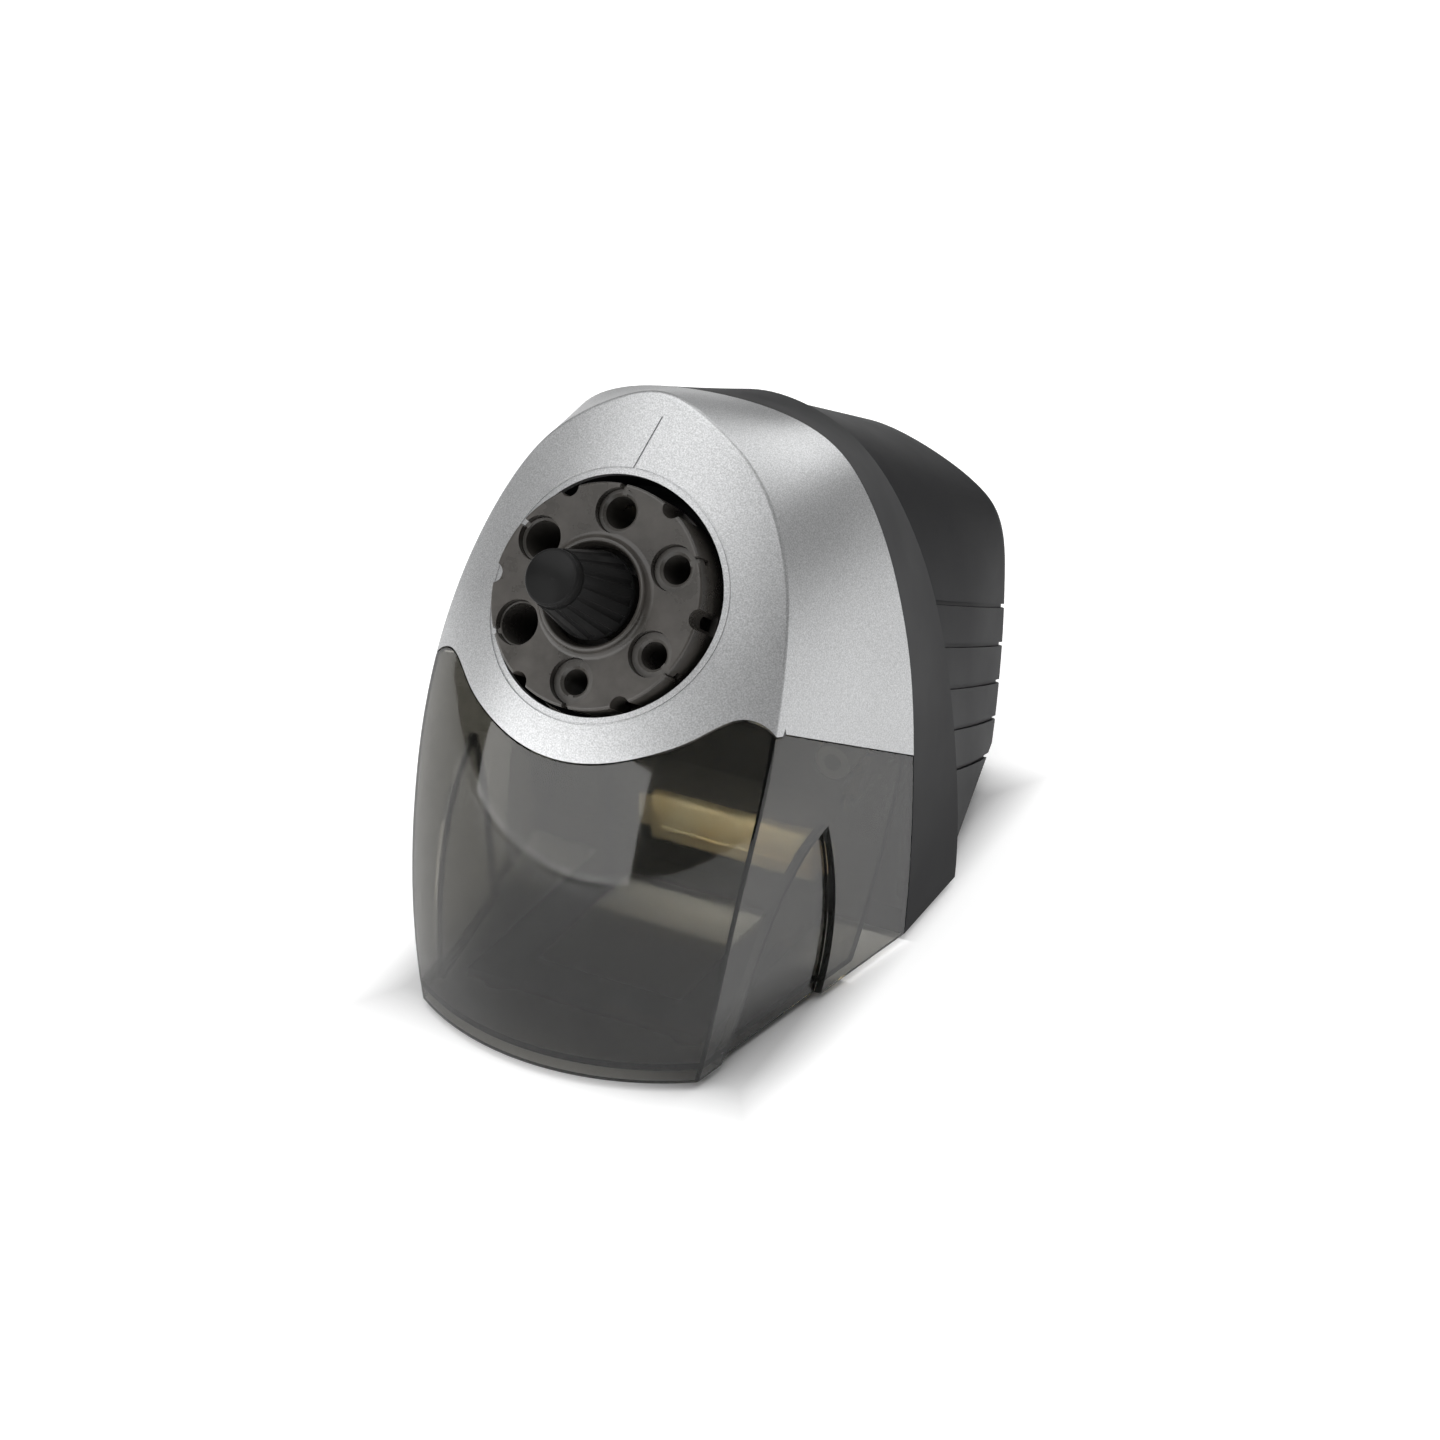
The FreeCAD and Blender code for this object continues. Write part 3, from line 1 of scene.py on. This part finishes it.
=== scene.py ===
"""Desktop electric pencil sharpener with a six-hole dial: the finished look of the object."""
import bpy
import math
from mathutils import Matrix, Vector


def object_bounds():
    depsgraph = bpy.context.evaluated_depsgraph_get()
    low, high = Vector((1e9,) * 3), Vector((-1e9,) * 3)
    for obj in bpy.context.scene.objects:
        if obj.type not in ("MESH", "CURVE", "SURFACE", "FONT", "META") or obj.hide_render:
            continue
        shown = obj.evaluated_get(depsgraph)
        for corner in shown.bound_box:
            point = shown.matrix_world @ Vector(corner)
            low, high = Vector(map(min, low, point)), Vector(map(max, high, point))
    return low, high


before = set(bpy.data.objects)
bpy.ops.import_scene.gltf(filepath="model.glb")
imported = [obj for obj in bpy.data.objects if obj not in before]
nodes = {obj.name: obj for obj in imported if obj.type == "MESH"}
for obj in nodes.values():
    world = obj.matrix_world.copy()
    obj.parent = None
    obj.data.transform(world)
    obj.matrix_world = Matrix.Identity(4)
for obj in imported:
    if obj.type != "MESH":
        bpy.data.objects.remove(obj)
cad_low, cad_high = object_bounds()
bpy.ops.object.select_all(action="DESELECT")

# ---- Front cover -----------------------------------------------------------------
# Upper front shell, moulded in ABS and sprayed with silver metallic paint.
# The flakes show as a fine sparkle. Two screws hold it to the main housing from behind.


def new_material(name, base, roughness, metallic=0.0):
    """Principled material with a base colour, returned with its shader and its tree."""
    material = bpy.data.materials.new(name)
    material.use_nodes = True
    tree = material.node_tree
    shader = tree.nodes["Principled BSDF"]
    shader.inputs["Base Color"].default_value = (*base, 1.0)
    shader.inputs["Roughness"].default_value = roughness
    shader.inputs["Metallic"].default_value = metallic
    return material, shader, tree


def noise(tree, scale, detail=2.0, rough=0.5, stretch=(1, 1, 1)):
    """Noise read in object coordinates, in cycles per metre."""
    coords = tree.nodes.new("ShaderNodeTexCoord")
    place = tree.nodes.new("ShaderNodeMapping")
    place.inputs["Scale"].default_value = stretch
    texture = tree.nodes.new("ShaderNodeTexNoise")
    texture.inputs["Scale"].default_value = scale
    texture.inputs["Detail"].default_value = detail
    texture.inputs["Roughness"].default_value = rough
    tree.links.new(coords.outputs["Object"], place.inputs["Vector"])
    tree.links.new(place.outputs["Vector"], texture.inputs["Vector"])
    return texture.outputs["Fac"]


def ramp(tree, source, low, high, dark, light):
    """Colours between two tones as the source goes from low to high."""
    blend = tree.nodes.new("ShaderNodeValToRGB")
    blend.color_ramp.elements[0].position = low
    blend.color_ramp.elements[0].color = (*dark, 1.0)
    blend.color_ramp.elements[1].position = high
    blend.color_ramp.elements[1].color = (*light, 1.0)
    tree.links.new(source, blend.inputs["Fac"])
    return blend.outputs["Color"]


def bump(tree, shader, source, distance, strength=1.0):
    """Surface relief, with its depth in metres."""
    relief = tree.nodes.new("ShaderNodeBump")
    relief.inputs["Distance"].default_value = distance
    relief.inputs["Strength"].default_value = strength
    tree.links.new(source, relief.inputs["Height"])
    tree.links.new(relief.outputs["Normal"], shader.inputs["Normal"])


NOISE_LOW = 0.3     # nearly all of a noise pattern lies between these two
NOISE_HIGH = 0.7


def spread(tree, shader, socket, source, low, high):
    """Drive a shader value between two limits with a pattern."""
    limits = tree.nodes.new("ShaderNodeMapRange")
    limits.inputs["From Min"].default_value = NOISE_LOW
    limits.inputs["From Max"].default_value = NOISE_HIGH
    limits.inputs["To Min"].default_value = low
    limits.inputs["To Max"].default_value = high
    tree.links.new(source, limits.inputs["Value"])
    tree.links.new(limits.outputs["Result"], shader.inputs[socket])


def paint(material, *names):
    """Give CAD nodes or pieces this material all over."""
    for name in names:
        mesh = nodes[name].data if name in nodes else bpy.data.objects[name].data
        mesh.materials.clear()
        mesh.materials.append(material)


FLAKE_SCALE = 2400      # flakes of metal in the paint
FLAKE_DEPTH = 0.00008
FLAKE_DARK = (0.40, 0.405, 0.41)
FLAKE_LIGHT = (0.62, 0.625, 0.63)
CLOUD_SCALE = 25        # slow changes in how the spray has settled


def silver_paint():
    material, shader, tree = new_material("silver_paint", (0.5, 0.505, 0.51), 0.4, 0.7)
    flakes = noise(tree, FLAKE_SCALE, 1.0, 0.6)
    clouds = noise(tree, CLOUD_SCALE, 2.0)
    colour = ramp(tree, flakes, 0.32, NOISE_HIGH, FLAKE_DARK, FLAKE_LIGHT)
    tree.links.new(colour, shader.inputs["Base Color"])
    spread(tree, shader, "Roughness", clouds, 0.36, 0.44)
    bump(tree, shader, flakes, FLAKE_DEPTH, 0.5)
    return material


paint(silver_paint(), "front_cover")

# ---- Main and rear housing ---------------------------------------------------------
# Arched middle shell, ribbed rear shell, base and seat, all moulded in black ABS
# with a fine spark-eroded texture.


SPARK_GRAIN = 0.000012  # depth of the texture in metres
SPARK_SCALE = 1500
HAZE_SCALE = 18         # large faint patches of handling
BLACK_SPECULAR = 0.06


def black_plastic(name, base, roughness, grain=SPARK_GRAIN):
    material, shader, tree = new_material(name, base, roughness)
    shader.inputs["Specular IOR Level"].default_value = BLACK_SPECULAR
    fine = noise(tree, SPARK_SCALE, 2.0, 0.6)
    haze = noise(tree, HAZE_SCALE, 3.0)
    lighter = tuple(value * 1.5 + 0.002 for value in base)
    tree.links.new(ramp(tree, haze, 0.35, 0.7, base, lighter), shader.inputs["Base Color"])
    spread(tree, shader, "Roughness", haze, roughness - 0.05, roughness + 0.05)
    bump(tree, shader, fine, grain, 0.6)
    return material


paint(black_plastic("black_abs", (0.007, 0.007, 0.008), 0.5),
      "main_housing", "rear_housing", "base_plate", "dial_seat", "cutter_housing",
      "cutter_guard", "switch_stand", "cooling_fan")

# ---- Shavings drawer -----------------------------------------------------------------
# Pull-out bin moulded in clear smoke-grey styrene, about 2.4 mm thick, so the edges
# look dark and the drive's plated steel shows through it.


SMOKE_TINT = (0.34, 0.325, 0.27, 1.0)
SMOKE_DENSITY = 740.0   # per metre, for walls of 2.4 mm
STYRENE_IOR = 1.5


def smoke_plastic():
    material, shader, tree = new_material("smoke_plastic", (0.95, 0.95, 0.95), 0.05)
    shader.inputs["Transmission Weight"].default_value = 1.0
    shader.inputs["IOR"].default_value = STYRENE_IOR
    smoke = tree.nodes.new("ShaderNodeVolumeAbsorption")
    smoke.inputs["Color"].default_value = SMOKE_TINT
    smoke.inputs["Density"].default_value = SMOKE_DENSITY
    output = tree.nodes["Material Output"]
    tree.links.new(smoke.outputs["Volume"], output.inputs["Volume"])
    haze = noise(tree, 60, 3.0)
    spread(tree, shader, "Roughness", haze, 0.03, 0.09)
    return material


paint(smoke_plastic(), "shavings_drawer")

# ---- Dial --------------------------------------------------------------------------
# Turning cap and drum with six guide tubes, moulded in grey-brown acetal that has
# been rubbed by fingers and pencils, and a fluted black knob pressed into its hub.


SMUDGE_SCALE = 90       # finger marks and graphite
ACETAL_GRAIN = 0.00002
CAP_DARK = (0.036, 0.033, 0.029)
CAP_LIGHT = (0.062, 0.056, 0.05)
DRUM_DARK = (0.055, 0.051, 0.046)
DRUM_LIGHT = (0.085, 0.08, 0.073)


def dial_plastic(name, dark, light):
    material, shader, tree = new_material(name, dark, 0.3)
    smudge = noise(tree, SMUDGE_SCALE, 4.0, 0.65)
    tree.links.new(ramp(tree, smudge, 0.3, 0.72, dark, light), shader.inputs["Base Color"])
    spread(tree, shader, "Roughness", smudge, 0.24, 0.36)
    bump(tree, shader, noise(tree, 1800, 2.0), ACETAL_GRAIN, 0.5)
    return material


paint(dial_plastic("dial_acetal", CAP_DARK, CAP_LIGHT), "dial_cap")
paint(dial_plastic("drum_acetal", DRUM_DARK, DRUM_LIGHT), "dial_drum")
paint(black_plastic("knob_plastic", (0.013, 0.013, 0.013), 0.32, 0.00001), "selector_knob")

# ---- Drive -------------------------------------------------------------------------
# Plated steel chassis, nylon gears, ground steel cutter and a two-pole motor. They sit
# inside the housing, and the chassis and gears show through the clear drawer.


STAIN_SCALE = 70        # dull and bright patches of the plating
BRUSHED = (1, 1, 12)    # rolling marks run across the sheet
SHEET_GRAIN = 0.00002


def plated(name, base, light, roughness, metallic=1.0):
    material, shader, tree = new_material(name, base, roughness, metallic)
    stain = noise(tree, STAIN_SCALE, 4.0, 0.6)
    tree.links.new(ramp(tree, stain, 0.3, 0.7, base, light), shader.inputs["Base Color"])
    spread(tree, shader, "Roughness", stain, roughness - 0.08, roughness + 0.1)
    bump(tree, shader, noise(tree, 900, 2.0, 0.5, BRUSHED), SHEET_GRAIN, 0.4)
    return material


paint(plated("yellow_zinc", (0.78, 0.6, 0.34), (0.95, 0.85, 0.6), 0.42, 0.5),
      "gear_plate", "motor_rear_bracket", "chassis_brace")
# The chassis plate's near-black finish is painted shade. It stands in for the shade deep in the
# housing behind the drawer.
paint(black_plastic("black_steel", (0.02, 0.02, 0.02), 0.4), "chassis_plate")
paint(plated("ground_steel", (0.45, 0.45, 0.46), (0.66, 0.66, 0.67), 0.3),
      "dial_post", "detent_spring", "ring_gear", "cutter_pinion", "helical_cutter", "cutter_axle",
      "compound_axle", "plate_spacers", "motor_sleeves", "motor_shaft", "lever_pin")
paint(plated("bright_screws", (0.5, 0.5, 0.51), (0.75, 0.75, 0.76), 0.25),
      "dial_screw", "plate_screws", "chassis_screws", "motor_bolts", "bracket_screws",
      "cover_screws", "housing_screws")
paint(plated("cast_zinc", (0.38, 0.38, 0.39), (0.52, 0.52, 0.53), 0.45), "cutter_carrier")
paint(plated("sintered_bronze", (0.42, 0.26, 0.12), (0.6, 0.4, 0.2), 0.4),
      "carrier_bush", "motor_front_bush", "motor_rear_bush", "motor_pinion")
paint(plated("stacked_steel", (0.12, 0.12, 0.13), (0.22, 0.22, 0.23), 0.5),
      "motor_stator", "rotor_core")
paint(plated("enamelled_copper", (0.4, 0.13, 0.04), (0.66, 0.28, 0.1), 0.3), "motor_coils")


MOTTLE_SCALE = 120      # flow marks in the small mouldings


def moulded(name, base, roughness):
    material, shader, tree = new_material(name, base, roughness)
    mottle = noise(tree, MOTTLE_SCALE, 3.0)
    lighter = tuple(min(1.0, value * 1.2) for value in base)
    tree.links.new(ramp(tree, mottle, 0.3, 0.7, base, lighter), shader.inputs["Base Color"])
    bump(tree, shader, noise(tree, 2000, 2.0), SHEET_GRAIN, 0.4)
    return material


paint(moulded("natural_nylon", (0.62, 0.58, 0.48), 0.42),
      "carrier_gear", "compound_gear", "start_lever", "switch_plunger", "board_standoffs")
paint(moulded("switch_phenolic", (0.02, 0.02, 0.022), 0.4), "start_switch", "drawer_switch")
paint(moulded("board_laminate", (0.03, 0.14, 0.06), 0.35), "control_board")
paint(moulded("relay_case", (0.02, 0.05, 0.2), 0.3), "motor_relay")
paint(moulded("can_sleeve", (0.03, 0.03, 0.04), 0.3), "motor_capacitor")
paint(moulded("terminal_green", (0.04, 0.2, 0.08), 0.4), "terminal_block")

# ---- Feet and cord gland --------------------------------------------------------------
# Pressed rubber: four feet plugged into the base from below, and the bush in the rear
# wall that would hold the mains lead.
paint(black_plastic("pressed_rubber", (0.016, 0.016, 0.016), 0.7, 0.00006),
      "rubber_feet", "cord_gland")

# ---- Camera, light and floor ------------------------------------------------------------
# Three-quarter view from the right and above, in a white sweep lit by large soft boxes.
middle = (Vector(cad_low) + Vector(cad_high)) / 2
camera = bpy.data.objects.new("camera", bpy.data.cameras.new("camera"))
bpy.context.scene.collection.objects.link(camera)
CAMERA_PLACE = (0.3437, -0.6609, 0.4691)
CAMERA_PITCH = math.radians(61.35)
CAMERA_TURN = math.radians(27.32)
LENS = 66.7
SENSOR = 36.0
camera.location = (middle.x + CAMERA_PLACE[0], middle.y + CAMERA_PLACE[1], CAMERA_PLACE[2])
camera.rotation_euler = (CAMERA_PITCH, 0.0, CAMERA_TURN)
camera.data.lens = LENS
camera.data.sensor_width = SENSOR
bpy.context.scene.camera = camera


def soft_box(name, place, aim, width, height, power):
    lamp = bpy.data.lights.new(name, "AREA")
    lamp.shape = "RECTANGLE"
    lamp.size, lamp.size_y = width, height
    lamp.energy = power
    box = bpy.data.objects.new(name, lamp)
    box.location = place
    box.rotation_euler = (Vector(aim) - Vector(place)).to_track_quat("-Z", "Y").to_euler()
    bpy.context.scene.collection.objects.link(box)
    return box


soft_box("key_box", (-0.6, -1.35, 0.36), (0, 0, 0.2), 2.0, 0.66, 12)
soft_box("top_box", (0.45, 1.0, 1.05), (0, 0, 0.1), 1.3, 0.7, 6)
# A small strip lamp behind the bin lights the plated steel there, and isn't seen itself.
LAMP_PLACE = (0.007, -0.0145, 0.035)
LAMP_AIM = (0.007, -0.003, 0.02)
bin_lamp = soft_box("bin_lamp", LAMP_PLACE, LAMP_AIM, 0.064, 0.004, 0.055)
bin_lamp.visible_camera = False
bin_lamp.visible_glossy = False
bin_lamp.visible_transmission = False
SUN_STRENGTH = 2.0
SUN_SPREAD = math.radians(70)
sun = bpy.data.lights.new("overhead", "SUN")
sun.energy = SUN_STRENGTH
sun.angle = SUN_SPREAD
overhead = bpy.data.objects.new("overhead", sun)
overhead.rotation_euler = (math.radians(16), math.radians(-10), 0)
bpy.context.scene.collection.objects.link(overhead)

world = bpy.data.worlds.new("studio")
world.use_nodes = True
world.node_tree.nodes["Background"].inputs["Color"].default_value = (1, 1, 1, 1)
world.node_tree.nodes["Background"].inputs["Strength"].default_value = 0.11
bpy.context.scene.world = world
bpy.context.scene.view_settings.view_transform = "Standard"

FLOOR_SIZE = 40
FLOOR_GLOW = 0.5        # lifts the sweep to white, but fades to nothing under the object, leaving a painted shadow there
PAINTED_SHADOW_CORE = 0.82        # shares of the object's half length and half width, over which the painted shadow fades out
PAINTED_SHADOW_EDGE = 1.05
bpy.ops.mesh.primitive_plane_add(size=FLOOR_SIZE)
floor = bpy.context.object
floor.name = "floor"
floor_material, floor_shader, floor_tree = new_material("floor_paper", (0.85, 0.85, 0.85), 0.8)
floor_shader.inputs["Emission Color"].default_value = (1, 1, 1, 1)
place = floor_tree.nodes.new("ShaderNodeTexCoord")
split = floor_tree.nodes.new("ShaderNodeSeparateXYZ")
floor_tree.links.new(place.outputs["Object"], split.inputs["Vector"])
painted_shadow_reach = floor_tree.nodes.new("ShaderNodeMath")
painted_shadow_reach.operation = "MAXIMUM"
for slot, (axis, half) in enumerate((("X", cad_high[0]), ("Y", cad_high[1]))):
    across = floor_tree.nodes.new("ShaderNodeMath")
    across.operation = "ABSOLUTE"
    share = floor_tree.nodes.new("ShaderNodeMath")
    share.operation = "DIVIDE"
    share.inputs[1].default_value = half
    floor_tree.links.new(split.outputs[axis], across.inputs[0])
    floor_tree.links.new(across.outputs["Value"], share.inputs[0])
    floor_tree.links.new(share.outputs["Value"], painted_shadow_reach.inputs[slot])
# The floor's glow is masked off under the object and fades in around it, which paints a soft
# contact shadow.
painted_shadow_glow = floor_tree.nodes.new("ShaderNodeMapRange")
painted_shadow_glow.inputs["From Min"].default_value = PAINTED_SHADOW_CORE
painted_shadow_glow.inputs["From Max"].default_value = PAINTED_SHADOW_EDGE
painted_shadow_glow.inputs["To Min"].default_value = 0.0
painted_shadow_glow.inputs["To Max"].default_value = FLOOR_GLOW
floor_tree.links.new(painted_shadow_reach.outputs["Value"], painted_shadow_glow.inputs["Value"])
floor_tree.links.new(painted_shadow_glow.outputs["Result"], floor_shader.inputs["Emission Strength"])
floor.data.materials.append(floor_material)
